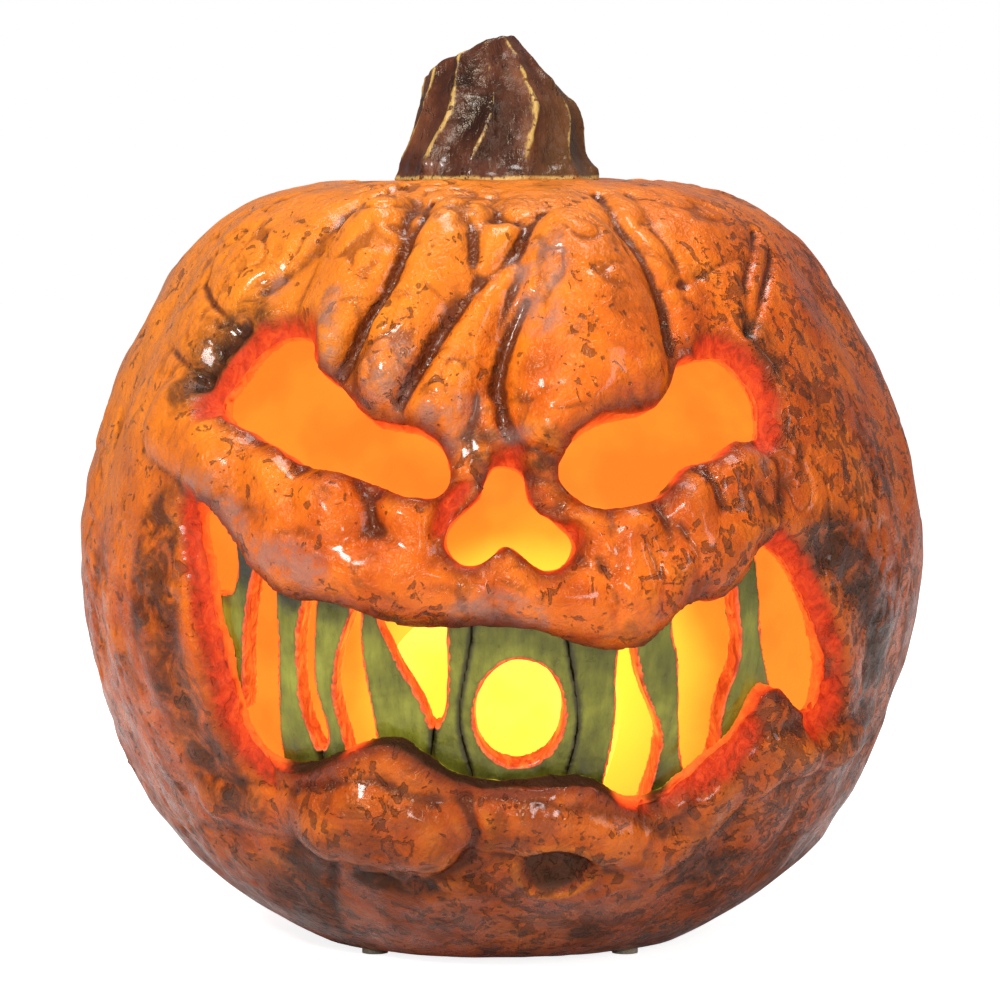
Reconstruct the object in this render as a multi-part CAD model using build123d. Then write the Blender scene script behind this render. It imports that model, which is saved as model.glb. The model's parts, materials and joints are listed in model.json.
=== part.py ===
from build123d import *

import os
from math import cos, pi, radians, sin

# A hollow clay pumpkin lantern with a carved face, a separate stem, separate clay teeth set behind the
# lips, and a battery light unit that fills the hole in its base.  Millimetres, +Z up, the face towards
# -Y, the feet on Z = 0 and the middle of the pumpkin on the Z axis.

ON_BASE = (Align.CENTER, Align.CENTER, Align.MIN)
FROM_TOP = (Align.CENTER, Align.CENTER, Align.MAX)

# ---- pumpkin body ----
BODY_R = 115.0            # crest radius at the waist
BODY_H = 205.5            # from the flat base to the flat seat under the stem
WALL = 9.0                # clay wall, measured from the crests
LOBES = 10
GROOVE = 2.5              # depth of the grooves between lobes at the waist
FLOOR = 8.5               # clay under the hollow
SEAT_R = 34.0             # flat seat under the stem

# ---- feet ----
PAD_R = 3.5
PAD_H = 1.5
PADS = 4
RIM = 1.0                 # clay left each side of a foot pad

# ---- stem ----
STEM_H = 40.0
STEM_R = 28.5
STEM_RIBS = 11
STEM_TURN = 16            # degrees from the front to the first rib
SPIGOT_R = 12.0
SPIGOT_GAP = 0.2

# ---- face ----
FOCUS_H = 103.5           # height above the base from which every cut in the face fans out
TOOTH_T = 5.5
SEAM = 0.5                # gap between two neighbouring teeth

# ---- light unit: housing ----
UNIT_R = 37.3
UNIT_WALL = 2.0
UNIT_GAP = 0.7            # round the housing, in the hole in the base
FLANGE_R = 42.5
FLANGE_T = 2.2
FLANGE_Z = 0.8            # its lower face, clear of the ground
GASKET_T = 0.8
FLOOR_PLATE = 4.0         # floor of the housing, which carries the door ledge
BAY_H = 10.0              # room for the control board
COVER_T = 2.0
SCREW_R = 1.25
SCREW_HEAD_R = 2.3
SCREW_PITCH_R = 30.0
SCREW_ANGLES = (40.0, 140.0, 220.0, 320.0)
SCREW_L = 9.0
SCREW_HEAD_T = 1.6
SLOT_W = 0.7
SLOT_L = 3.0
BOSS_R = 3.1

# ---- batteries: three AAA cells ----
CELL_R = 5.25
CELL_L = 44.5
BUTTON_R = 1.9
BUTTON_L = 1.2
CELLS = 3
CELL_PITCH = 11.2
SPRING_L = 6.0
CONTACT_T = 0.5
CONTACT_W = 8.0
TAB_W = 3.0               # solder tab, as wide as it stands above the deck
CELL_ROOM = 1.0           # over and under a cell

# ---- battery door ----
DOOR_T = 2.0
DOOR_GAP = 0.35
LEDGE = 2.6
NOTCH_R = 6.0
GRIP_BARS = 5
GRIP_L = 16.0
GRIP_PITCH = 2.2
PIN_R = 0.75
PIN_PLAY = 0.05
KNUCKLE_R = 1.75
KNUCKLE_L = 23.0
HINGE_SETBACK = 2.4       # from the hinge line forward to the plate's back edge, so it swings clear
PIN_L = 34.0

# ---- switch ----
SWITCH_X, SWITCH_Y, SWITCH_Z = 8.5, 19.0, 5.0
SWITCH_TRAVEL = 4.0
KNOB_X, KNOB_Y = 3.0, 3.6
KNOB_GAP = 0.4

# ---- lamp ----
MAST_R = 6.0
MAST_LIP = 3.0
MAST_BORE = 4.2
MAST_H = 25.0
LED_BOARD_R = 11.0
BOARD_T = 1.6
BOARD_X, BOARD_Y = 34.0, 26.0
BOARD_POST = 4.0
POST_R = 2.0
POST_INSET = 3.0          # from a board edge to the middle of a post
LED_R = 2.5
LED_FLANGE = 0.8
LED_L = 3.5                # up to where its dome begins
LED_RING = 7.0
GLOBE_R = 33.0
GLOBE_H = 62.0
GLOBE_NECK = 25.0
GLOBE_FOOT = 27.0
GLOBE_T = 1.5
LEAD_R = 0.6

# ---- heights that follow ----
BASE_Z = PAD_H
SEAT_Z = BASE_Z + BODY_H
FOCUS_Z = BASE_Z + FOCUS_H
SHELL_SPLIT_Z = BASE_Z + 0.4 * BODY_H
FLANGE_TOP = FLANGE_Z + FLANGE_T
COUNTERBORE_TOP = FLANGE_TOP + GASKET_T
DOOR_TOP = FLANGE_Z + DOOR_T
LEDGE_Z = DOOR_TOP + 0.1
PLATE_TOP = FLANGE_Z + FLOOR_PLATE
CELL_Z = LEDGE_Z + CELL_ROOM + CELL_R
POCKET_TOP = CELL_Z + CELL_R + CELL_ROOM
DECK_TOP = POCKET_TOP + UNIT_WALL
BAY_TOP = DECK_TOP + BAY_H
COVER_TOP = BAY_TOP + COVER_T
MAST_TOP = COVER_TOP + MAST_H
BOARD_Z = DECK_TOP + BOARD_POST

# ---- plan sizes that follow ----
HOLE_R = UNIT_R + UNIT_GAP
COUNTERBORE_R = FLANGE_R + 0.5
BASE_R = COUNTERBORE_R + 2 * (PAD_R + RIM)
PAD_PITCH_R = COUNTERBORE_R + RIM + PAD_R
POCKET_X = (CELLS - 1) * CELL_PITCH + 2 * CELL_R + 1.2
POCKET_Y = CELL_L + SPRING_L + 2 * CONTACT_T
DOOR_X = POCKET_X + 2 * LEDGE
DOOR_Y = POCKET_Y + 2 * LEDGE
HINGE_Y = DOOR_Y / 2 + PIN_R + 0.6
HINGE_Z = FLANGE_Z + KNUCKLE_R
SWITCH_POS_X = POCKET_X / 2 + UNIT_WALL + SWITCH_X / 2 + 1.6

# Side profile of the crests.  Below the waist a point is (share of the way from the base radius out to
# the body radius, share of the body height, share of the groove depth); above it the share runs from the
# seat radius.
LOWER = [(0, 0, 0.4), (0.13, 0.02, 0.5), (0.38, 0.07, 0.8), (0.63, 0.149, 1), (0.825, 0.256, 1),
         (0.96, 0.387, 1), (1, 0.499, 1)]
UPPER = [(0.967, 0.628, 1), (0.877, 0.735, 1.1), (0.743, 0.841, 1.3), (0.55, 0.94, 1.3),
         (0.346, 0.983, 1.1), (0.15, 0.998, 0.7), (0, 1, 0.4)]

# Outlines of the cuts, as they stand on an upright plane 100 mm in front of the focus: X to the right,
# then the height above the focus.
LEFT_EYE = [(-101, 66), (-92, 77), (-81, 85), (-70, 83), (-61, 77), (-54, 63), (-42, 53), (-33, 43),
            (-20, 38), (-12, 30), (-13, 22), (-24, 21.5), (-36, 27), (-50, 31), (-65, 39), (-81, 47),
            (-96, 57)]
RIGHT_EYE = [(13.5, 28), (17, 35), (25, 41), (38, 46), (47, 54), (54, 66), (64, 71), (76, 75), (86, 69),
             (88, 55), (83, 45), (70, 41), (59, 34), (48, 30), (40, 22), (29, 19), (19, 19.5)]
NOSE = [(0.5, 29), (5, 27), (7, 20), (12, 15.5), (17, 10.5), (15, 5.5), (9, 4.5), (1, 9.5), (-4, 6),
        (-9, 5.5), (-12.5, 10), (-9, 17), (-4, 22)]
MOUTH = [(-98, 23), (-84, 21), (-69, 7), (-55, -2), (-36, -4), (-22, -9), (-5, -8), (10, -10),
         (26, -15), (36, -13), (44, -5), (53, -4), (65, -1), (71, 9), (82, 9.5), (98, -2), (113, -19),
         (128, -44), (129, -56), (105, -47), (81, -36), (74, -49), (60, -57), (46, -65), (34, -62),
         (25, -54), (3, -53), (-14, -49), (-26, -41), (-44, -48), (-62, -58), (-79, -57), (-86, -30),
         (-92, -6), (-97, 10)]

# Each tooth: its left and its right edge from top to bottom on the same plane.  Tops and bottoms run on
# behind the lips.
SEAM_6 = [(-7, 2), (-8, -20), (-10, -37), (-8, -48), (-8, -66)]
SEAM_7 = [(16, -2), (18, -20), (20.5, -38), (19, -50), (18, -66)]
TEETH = [
    ([(-90, 26), (-84, 10), (-86, -4), (-96, -5), (-107, -8), (-103, -17), (-92, -17), (-88, -30),
      (-91, -47)], [(-68, 14), (-76, -2), (-80, -16), (-84, -33), (-89, -47)]),
    ([(-66, 10), (-65, -17), (-68, -37), (-71, -52), (-74, -68)],
     [(-50, 4), (-56, -14), (-58, -28), (-57, -44), (-55, -53), (-55, -57), (-56.2, -67)]),
    ([(-48, 4), (-51, -16), (-52, -30), (-50.5, -46), (-53.4, -53), (-54.2, -57), (-55.4, -67)],
     [(-36, 0), (-41, -14), (-44.5, -24), (-44, -45), (-42, -60)]),
    ([(-34, 0), (-36, -14), (-35, -28), (-34, -40), (-36, -54)],
     [(-30.5, -3), (-30.5, -9), (-27, -17), (-23.2, -24), (-19.6, -31), (-18.0, -37), (-19.0, -46),
      (-21.6, -62)]),
    ([(-12.8, 2), (-12.9, -8), (-13, -17), (-13.3, -26), (-14.4, -33), (-16.4, -38), (-17.9, -46),
      (-20.9, -62)],
     [(x - SEAM, z) for x, z in SEAM_6]),
    (SEAM_6, [(x - SEAM, z) for x, z in SEAM_7]),
    (SEAM_7, [(33, -8), (30, -23), (31, -36), (30, -52), (31, -66)]),
    ([(33.6, -8), (36, -22), (40, -32), (45, -42), (46, -60), (45, -78)],
     [(54, 2), (46.5, -13), (48.5, -20), (51, -36), (55, -52), (60, -66)]),
    ([(68, 6), (71, -10), (73, -27), (70, -36), (71, -54), (70, -66)],
     [(78, 14), (82, -8), (86, -24), (94, -38), (100, -56)]),
]
HOLE_IN_TOOTH = (5, -33.5, 11.5, 15.5)     # centre, half width and half height of the round gap


def crests():
    """(radius, height, groove depth) of every station, from the base to the stem seat."""
    low = [(BASE_R + s * (BODY_R - BASE_R), BASE_Z + h * BODY_H, g * GROOVE) for s, h, g in LOWER]
    high = [(SEAT_R + s * (BODY_R - SEAT_R), BASE_Z + h * BODY_H, g * GROOVE) for s, h, g in UPPER]
    return low + high


def lobed_wire(radius, height, depth, lobes, turn=0.0, shift=0.0):
    """Closed outline of round lobes; depth is how far the grooves lie inside the crests."""
    step = 2 * pi / lobes
    start = radians(turn) - pi / 2

    def at(r, angle):
        return (shift + r * cos(angle), r * sin(angle), height)

    arcs = []
    for i in range(lobes):
        a = start + i * step
        arcs.append(ThreePointArc(at(radius - depth, a), at(radius, a + step / 2),
                                  at(radius - depth, a + step)))
    return Wire(arcs)


def inner_form(inset):
    """Solid of revolution that lies this far inside the crests."""
    points = [(r, z) for r, z, _ in crests()]
    path = [(BASE_R - inset * 0.6, BASE_Z + FLOOR)]
    for before, here, after in zip(points, points[1:], points[2:] + [(0, SEAT_Z)]):
        dr, dz = after[0] - before[0], after[1] - before[1]
        size = (dr * dr + dz * dz) ** 0.5
        path.append((here[0] - inset * dz / size, here[1] + inset * dr / size))
    path = [(r, z) for r, z in path if z <= SEAT_Z - inset + 0.5]
    side = Spline([(r, 0, z) for r, z in path])
    top, bottom = path[-1], path[0]
    lid = Polyline((top[0], 0, top[1]), (0, 0, top[1]), (0, 0, bottom[1]), (bottom[0], 0, bottom[1]))
    return revolve(make_face([side, lid]), Axis.Z)


def cone(wire_at):
    """Solid between an outline near the focus and the same outline beyond the wall."""
    return Solid.make_loft([wire_at(0.5), wire_at(1.4)], True)


def on_plane(x, z, k):
    return (k * x, -100 * k, FOCUS_Z + k * z)


def cutter(points):
    return cone(lambda k: Wire(Spline([on_plane(x, z, k) for x, z in points], periodic=True)))


def tooth_form(left, right):
    def outline(k):
        sides = [Spline([on_plane(x, z, k) for x, z in edge]) for edge in (left, right)]
        ends = [Line(on_plane(*left[i], k), on_plane(*right[i], k)) for i in (0, -1)]
        return Wire.combine([*sides, *ends])[0]
    return cone(outline)


def pumpkin_shell():
    skin = Solid.make_loft([lobed_wire(r, z, g, LOBES) for r, z, g in crests()])
    body = skin - inner_form(WALL)
    for outline in (LEFT_EYE, RIGHT_EYE, NOSE, MOUTH):
        body -= cutter(outline)
    body -= Pos(0, 0, BASE_Z) * Cylinder(HOLE_R, FLOOR * 2, align=ON_BASE)
    body -= Pos(0, 0, BASE_Z) * Cylinder(COUNTERBORE_R, COUNTERBORE_TOP - BASE_Z, align=ON_BASE)
    body -= Pos(0, 0, SEAT_Z - 2 * WALL) * Cylinder(SPIGOT_R + SPIGOT_GAP, 3 * WALL, align=ON_BASE)
    return body


def stem():
    """Stout stem with sharp ribs and hollow flutes, leaning and slightly twisted, cut off at a slant."""
    stations = [(1.0, 0.0, 1.5, 0, -1), (0.97, 0.08, 2.2, 2, -1), (0.84, 0.36, 2.4, 10, -1),
                (0.74, 0.57, 2.2, 16, -1.5), (0.62, 0.72, 2.0, 20, -3.5), (0.5, 0.86, 1.6, 24, -5),
                (0.39, 1.0, 1.2, 27, -6.5), (0.3, 1.12, 0.8, 29, -7.5)]
    body = Solid.make_loft([
        lobed_wire(r * STEM_R - flute, SEAT_Z + h * STEM_H, -flute, STEM_RIBS, turn + STEM_TURN, shift)
        for r, h, flute, turn, shift in stations])
    slant = Plane(origin=(-7, 0, SEAT_Z + 0.87 * STEM_H), z_dir=(-0.43, 0.15, 1))
    body -= slant * Box(6 * STEM_R, 6 * STEM_R, STEM_H, align=ON_BASE)
    return body + Pos(0, 0, SEAT_Z) * Cylinder(SPIGOT_R, WALL - 1, align=FROM_TOP)


def teeth():
    band = inner_form(WALL) - inner_form(WALL + TOOTH_T)
    band &= Pos(0, -BODY_R, FOCUS_Z) * Box(4 * BODY_R, 2 * BODY_R, BODY_H)
    x, z, half_x, half_z = HOLE_IN_TOOTH
    turns = [i * pi / 6 for i in range(12)]
    hole = cutter([(x + half_x * cos(a), z + half_z * sin(a)) for a in turns])
    made = {}
    for i, (left, right) in enumerate(TEETH, start=1):
        tooth = band & tooth_form(left, right)
        if left is SEAM_6:
            tooth -= hole
        made[f"tooth_{i}"] = tooth
    return made


def polar(radius, angle):
    return radius * cos(radians(angle)), radius * sin(radians(angle))


def foot_pads():
    return [Pos(*polar(PAD_PITCH_R, 45 + 90 * i), 0) * Cylinder(PAD_R, PAD_H, align=ON_BASE)
            for i in range(PADS)]


def block(x, y, z0, z1, at=(0, 0)):
    return Pos(at[0], at[1], z0) * Box(x, y, z1 - z0, align=ON_BASE)


def disc(radius, z0, z1, at=(0, 0)):
    return Pos(at[0], at[1], z0) * Cylinder(radius, z1 - z0, align=ON_BASE)


def bar_x(radius, length, y, z):
    return Pos(0, y, z) * Rot(0, 90, 0) * Cylinder(radius, length)


def cell_x():
    return [(i - (CELLS - 1) / 2) * CELL_PITCH for i in range(CELLS)]


def tab_x():
    """The two outer contacts carry a solder tab that passes up through the deck."""
    return cell_x()[-1], cell_x()[0]


def light_housing():
    """Flange, round wall, battery pocket with its deck, screw bosses and board posts."""
    body = disc(FLANGE_R, FLANGE_Z, FLANGE_TOP) + disc(UNIT_R, FLANGE_Z, PLATE_TOP)
    body += disc(UNIT_R, FLANGE_Z, BAY_TOP) - disc(UNIT_R - UNIT_WALL, FLANGE_Z, BAY_TOP)
    body += block(POCKET_X + 2 * UNIT_WALL, POCKET_Y + 2 * UNIT_WALL, FLANGE_Z, DECK_TOP)
    for angle in SCREW_ANGLES:
        body += disc(BOSS_R, FLANGE_Z, BAY_TOP, polar(SCREW_PITCH_R, angle))
    for sx in (-1, 1):
        for sy in (-1, 1):
            body += disc(POST_R, DECK_TOP, BOARD_Z,
                         (sx * (BOARD_X / 2 - POST_INSET), sy * (BOARD_Y / 2 - POST_INSET)))
    inside = disc(UNIT_R, FLANGE_Z, BAY_TOP + 1)
    body -= block(POCKET_X, POCKET_Y, 0, POCKET_TOP)
    body -= block(DOOR_X + 2 * DOOR_GAP, DOOR_Y + 2 * DOOR_GAP, 0, LEDGE_Z)
    slot = KNUCKLE_L + 2 * DOOR_GAP
    body -= bar_x(KNUCKLE_R + 0.35, slot, HINGE_Y, HINGE_Z)
    body -= block(slot, 2 * KNUCKLE_R + 0.7, 0, HINGE_Z, (0, HINGE_Y))
    body -= block(slot, KNUCKLE_R + 1, 0, HINGE_Z + KNUCKLE_R * 0.6, (0, HINGE_Y - KNUCKLE_R / 2 - 0.5))
    body -= bar_x(PIN_R, PIN_L, HINGE_Y, HINGE_Z)
    body -= block(KNOB_X + 2 * KNOB_GAP, KNOB_Y + SWITCH_TRAVEL + 2 * KNOB_GAP, 0, PLATE_TOP + 1,
                  (SWITCH_POS_X, 0))
    body -= block(KNOB_X + 5, KNOB_Y + SWITCH_TRAVEL + 6, 0, FLANGE_Z + 1.2, (SWITCH_POS_X, 0))
    for angle in SCREW_ANGLES:
        body -= disc(SCREW_R + 0.05, BAY_TOP - SCREW_L, BAY_TOP + 1, polar(SCREW_PITCH_R, angle))
    for x, y in zip(tab_x(), (1, -1)):
        body -= block(TAB_W + 0.6, 1.2, POCKET_TOP - 1, DECK_TOP + 1,
                      (x, y * (POCKET_Y / 2 - CONTACT_T / 2)))
    return body & (disc(FLANGE_R, 0, FLANGE_TOP) + inside)


def housing_cover():
    body = disc(UNIT_R, BAY_TOP, COVER_TOP) + disc(MAST_R, COVER_TOP, MAST_TOP)
    body += disc(MAST_R + MAST_LIP, MAST_TOP - COVER_T, MAST_TOP)
    body -= disc(MAST_BORE, BAY_TOP - 1, MAST_TOP + 1)
    for angle in SCREW_ANGLES:
        body -= disc(SCREW_R + 0.3, BAY_TOP - 1, COVER_TOP + 1, polar(SCREW_PITCH_R, angle))
    return body


def cover_screws():
    screws = []
    for angle in SCREW_ANGLES:
        at = polar(SCREW_PITCH_R, angle)
        head = disc(SCREW_HEAD_R, COVER_TOP, COVER_TOP + SCREW_HEAD_T, at)
        head = fillet(head.edges().filter_by(GeomType.CIRCLE).sort_by(Axis.Z)[-1], 0.9)
        slot_z = COVER_TOP + SCREW_HEAD_T / 2, COVER_TOP + 2 * SCREW_HEAD_T
        head -= block(SLOT_W, SLOT_L, *slot_z, at) + block(SLOT_L, SLOT_W, *slot_z, at)
        screws.append(head + disc(SCREW_R, BAY_TOP - SCREW_L + 1.5, COVER_TOP, at))
    return screws


def flange_gasket():
    return disc(FLANGE_R, FLANGE_TOP, COUNTERBORE_TOP) - disc(HOLE_R + 0.5, FLANGE_TOP, COUNTERBORE_TOP)


def diffuser_globe():
    def half(neck, radius, top):
        side = Spline([(neck, 0, COVER_TOP), (radius, 0, COVER_TOP + 0.47 * GLOBE_H), (0, 0, top)],
                      tangents=[(0.25, 0, 1), (-1, 0, 0)])
        lid = Polyline((0, 0, top), (0, 0, COVER_TOP), (neck, 0, COVER_TOP))
        return revolve(make_face([side, lid]), Axis.Z)

    top = COVER_TOP + GLOBE_H
    body = half(GLOBE_NECK, GLOBE_R, top) + disc(GLOBE_FOOT, COVER_TOP, COVER_TOP + GLOBE_T)
    return body - half(GLOBE_NECK - GLOBE_T, GLOBE_R - GLOBE_T, top - GLOBE_T)


def led_board():
    return disc(LED_BOARD_R, MAST_TOP, MAST_TOP + BOARD_T)


def leds():
    """One lamp on the axis and a ring of four, each a short barrel with a domed top."""
    z = MAST_TOP + BOARD_T
    places = [(0, 0)] + [polar(LED_RING, 45 + 90 * i) for i in range(4)]
    return [disc(LED_R + 0.3, z, z + LED_FLANGE, at) + disc(LED_R, z, z + LED_L, at)
            + (Pos(at[0], at[1], z + LED_L) * Sphere(LED_R)) for at in places]


def control_board():
    body = block(BOARD_X, BOARD_Y, BOARD_Z, BOARD_Z + BOARD_T)
    for x in (-MAST_BORE / 2, MAST_BORE / 2):
        body -= disc(0.4, BOARD_Z - 1, BOARD_Z + BOARD_T + 1, (x, 0))
    return body


def board_components():
    """Timer chip, capacitor and resistor on the control board."""
    z = BOARD_Z + BOARD_T
    cap = fillet(disc(2.2, z, z + 3.6, (9, -7)).edges().sort_by(Axis.Z)[-1], 0.4)
    return [block(6, 4.4, z, z + 1.5, (-9, -6)), cap, block(3.2, 1.6, z, z + 0.8, (-9, 5))]


def tube(points, radii):
    path = FilletPolyline(*points, radius=radii)
    start = Plane(origin=path @ 0, z_dir=path % 0)
    return sweep(start * Circle(LEAD_R), path)


def battery_lead(side):
    """From a solder tab above the deck over the edge of the control board to its upper face."""
    x = cell_x()[-1] if side > 0 else cell_x()[0]
    z = BOARD_Z + BOARD_T
    y_tab = POCKET_Y / 2 - CONTACT_T - 0.02
    points = [(x, side * y_tab, DECK_TOP + 1.6), (x, side * (y_tab - 5), DECK_TOP + 1.6),
              (x, side * (BOARD_Y / 2 + 1.4), z + 2), (x, side * (BOARD_Y / 2 - 3.5), z + 2),
              (x, side * (BOARD_Y / 2 - 3.5), z)]
    return tube(points, [2.0, 2.0, 1.2])


def led_lead(side):
    """Straight up the bore of the mast from the control board to the lamp board."""
    return disc(LEAD_R, BOARD_Z + BOARD_T, MAST_TOP, (side * MAST_BORE / 2, 0))


def battery(x):
    """AAA cell along Y, its button towards +Y."""
    barrel_l = CELL_L - BUTTON_L
    y0 = -POCKET_Y / 2 + CONTACT_T + SPRING_L
    along = Rot(-90, 0, 0)
    barrel = Pos(x, y0, CELL_Z) * along * Cylinder(CELL_R, barrel_l, align=ON_BASE)
    barrel = fillet(barrel.edges().filter_by(GeomType.CIRCLE), 0.5)
    return barrel + Pos(x, y0 + barrel_l, CELL_Z) * along * Cylinder(BUTTON_R, BUTTON_L, align=ON_BASE)


def contact(x, end, with_tab):
    plate = block(CONTACT_W, CONTACT_T, LEDGE_Z + 1, POCKET_TOP,
                  (x, end * (POCKET_Y / 2 - CONTACT_T / 2)))
    if with_tab:
        plate += block(TAB_W, CONTACT_T, POCKET_TOP - 1, DECK_TOP + TAB_W,
                       (x, end * (POCKET_Y / 2 - CONTACT_T / 2)))
    return plate


def plate_contacts():
    return [contact(x, 1, x == cell_x()[-1]) for x in cell_x()]


def spring_contacts():
    """Plates that each carry a bent leaf which presses on a cell's flat end."""
    made = []
    y0 = -POCKET_Y / 2 + CONTACT_T
    for x in cell_x():
        bend = ThreePointArc((x, y0, CELL_Z - 4), (x, y0 + SPRING_L - CONTACT_T / 2, CELL_Z),
                             (x, y0 + CONTACT_T, CELL_Z + 4))
        leaf = sweep(Plane(origin=bend @ 0, z_dir=bend % 0, x_dir=(1, 0, 0))
                     * Rectangle(CONTACT_W / 2, CONTACT_T), bend)
        made.append(contact(x, -1, x == cell_x()[0]) + leaf)
    return made


def battery_door():
    """Plate with a hinge barrel on one edge and a finger notch on the other, before a few grip bars."""
    back_edge = HINGE_Y - HINGE_SETBACK
    body = block(DOOR_X, DOOR_Y / 2 + back_edge, FLANGE_Z, DOOR_TOP, (0, (back_edge - DOOR_Y / 2) / 2))
    body = fillet(body.edges().filter_by(Axis.Z), 1.2)
    body += block(KNUCKLE_L, KNUCKLE_R + 1.4, FLANGE_Z, DOOR_TOP, (0, HINGE_Y - KNUCKLE_R / 2 - 0.7))
    body += bar_x(KNUCKLE_R, KNUCKLE_L, HINGE_Y, HINGE_Z)
    body -= bar_x(PIN_R + PIN_PLAY, KNUCKLE_L + 1, HINGE_Y, HINGE_Z)
    body -= Pos(0, -DOOR_Y / 2, FLANGE_Z) * Cylinder(NOTCH_R, DOOR_T * 0.55, align=ON_BASE)
    for i in range(GRIP_BARS):
        body -= block(GRIP_L, 0.8, FLANGE_Z - 1, FLANGE_Z + 0.5,
                      (0, -DOOR_Y / 2 + 1.5 * NOTCH_R + GRIP_PITCH * i))
    return body


def door_hinge_pin():
    return bar_x(PIN_R, PIN_L, HINGE_Y, HINGE_Z)


def switch_body():
    body = block(SWITCH_X, SWITCH_Y, PLATE_TOP, PLATE_TOP + SWITCH_Z, (SWITCH_POS_X, 0))
    body -= block(KNOB_X + 2 * KNOB_GAP, KNOB_Y + SWITCH_TRAVEL + 2 * KNOB_GAP, PLATE_TOP - 1,
                  PLATE_TOP + 2 + KNOB_GAP, (SWITCH_POS_X, 0))
    for y in (-2.5, 0, 2.5):
        body += block(1.2, 0.4, PLATE_TOP + SWITCH_Z, PLATE_TOP + SWITCH_Z + 3, (SWITCH_POS_X, y))
    return body


def switch_knob():
    body = block(KNOB_X, KNOB_Y, FLANGE_Z + 0.4, PLATE_TOP + 2, (SWITCH_POS_X, -SWITCH_TRAVEL / 2))
    for i in (-1, 0, 1):
        body -= block(KNOB_X, 0.4, FLANGE_Z, FLANGE_Z + 0.8, (SWITCH_POS_X, i - SWITCH_TRAVEL / 2))
    return body


def shell_pieces():
    """The one hollow casting, listed in eight blocks so that collision can follow its hollow and openings."""
    whole = pumpkin_shell()
    made = {}
    for level, low, high in (("lower", 0, SHELL_SPLIT_Z), ("upper", SHELL_SPLIT_Z, 2 * BODY_R)):
        for face, y in (("front", -BODY_R), ("back", BODY_R)):
            for side, x in (("left", -BODY_R), ("right", BODY_R)):
                cell = block(2 * BODY_R, 2 * BODY_R, low, high, (x, y))
                made[f"shell_{face}_{side}_{level}"] = whole & cell
    return made


def parts():
    made = {**shell_pieces(), "stem": stem()}
    made.update(teeth())
    made.update({f"battery_{i}": battery(x) for i, x in enumerate(cell_x(), start=1)})
    made["positive_battery_lead"] = battery_lead(1)
    made["negative_battery_lead"] = battery_lead(-1)
    made["positive_led_lead"] = led_lead(1)
    made["negative_led_lead"] = led_lead(-1)
    for piece in (light_housing, housing_cover, cover_screws, flange_gasket, diffuser_globe, led_board,
                  leds, control_board, board_components, plate_contacts, spring_contacts, battery_door,
                  door_hinge_pin, switch_body, switch_knob, foot_pads):
        made[piece.__name__] = piece()
    return made


def main():
    os.makedirs("parts", exist_ok=True)
    for name, piece in parts().items():
        solids = piece if isinstance(piece, list) else [piece]
        solids = [s for item in solids for s in item.solids()]
        export_step(Compound(solids) if len(solids) > 1 else solids[0], f"parts/{name}.step")


main()
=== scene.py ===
"""A carved clay pumpkin lantern, lit from inside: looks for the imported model."""
import json
import math

import bmesh
import bpy
import numpy as np
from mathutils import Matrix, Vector, kdtree
from mathutils.bvhtree import BVHTree


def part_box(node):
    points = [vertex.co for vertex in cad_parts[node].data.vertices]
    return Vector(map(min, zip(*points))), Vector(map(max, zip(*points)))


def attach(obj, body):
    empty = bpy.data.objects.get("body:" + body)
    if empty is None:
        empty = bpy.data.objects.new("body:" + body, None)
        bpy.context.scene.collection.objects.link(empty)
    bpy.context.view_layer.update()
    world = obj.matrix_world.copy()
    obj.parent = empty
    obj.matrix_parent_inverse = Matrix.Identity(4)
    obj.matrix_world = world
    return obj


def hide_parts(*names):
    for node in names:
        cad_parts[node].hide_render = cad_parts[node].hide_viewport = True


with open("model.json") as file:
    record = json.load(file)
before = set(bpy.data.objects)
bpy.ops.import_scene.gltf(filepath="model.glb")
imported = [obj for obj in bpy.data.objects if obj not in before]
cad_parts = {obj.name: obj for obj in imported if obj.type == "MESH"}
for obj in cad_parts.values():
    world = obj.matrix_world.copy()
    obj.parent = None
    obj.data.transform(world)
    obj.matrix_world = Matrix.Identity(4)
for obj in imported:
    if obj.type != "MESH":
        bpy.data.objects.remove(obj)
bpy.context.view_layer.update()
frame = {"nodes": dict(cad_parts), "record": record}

MM = 0.001
FOCUS = np.array([0.0, 0.0, 0.105])      # every cut in the face fans out from here


# ---------------------------------------------------------------- camera, floor and light
def aim(obj, place, target):
    """Puts a lamp or camera at a place and turns it to look at the target."""
    obj.location = place
    obj.rotation_euler = (Vector(target) - Vector(place)).to_track_quat("-Z", "Y").to_euler()


def camera():
    data = bpy.data.cameras.new("camera")
    data.lens = 170.6
    data.sensor_width = 36
    data.clip_end = 30
    cam = bpy.data.objects.new("camera", data)
    bpy.context.scene.collection.objects.link(cam)
    aim(cam, (0, -1.2968, 0.2103), (0, 0, 0.1196))
    bpy.context.scene.camera = cam


def softbox(name, place, target, size, power, colour=(1, 1, 1)):
    data = bpy.data.lights.new(name, "AREA")
    data.shape = "RECTANGLE"
    data.size, data.size_y = size
    data.energy = power
    data.color = colour
    lamp = bpy.data.objects.new(name, data)
    bpy.context.scene.collection.objects.link(lamp)
    aim(lamp, place, target)


def bare_backdrop(tree, strength, as_light, as_seen):
    """The backdrop looks plain white but lights the pumpkin less than that."""
    seen = tree.nodes.new("ShaderNodeLightPath").outputs["Is Camera Ray"]
    level = tree.nodes.new("ShaderNodeMapRange")
    level.inputs["To Min"].default_value = as_light
    level.inputs["To Max"].default_value = as_seen
    tree.links.new(seen, level.inputs["Value"])
    tree.links.new(level.outputs["Result"], strength)


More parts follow.
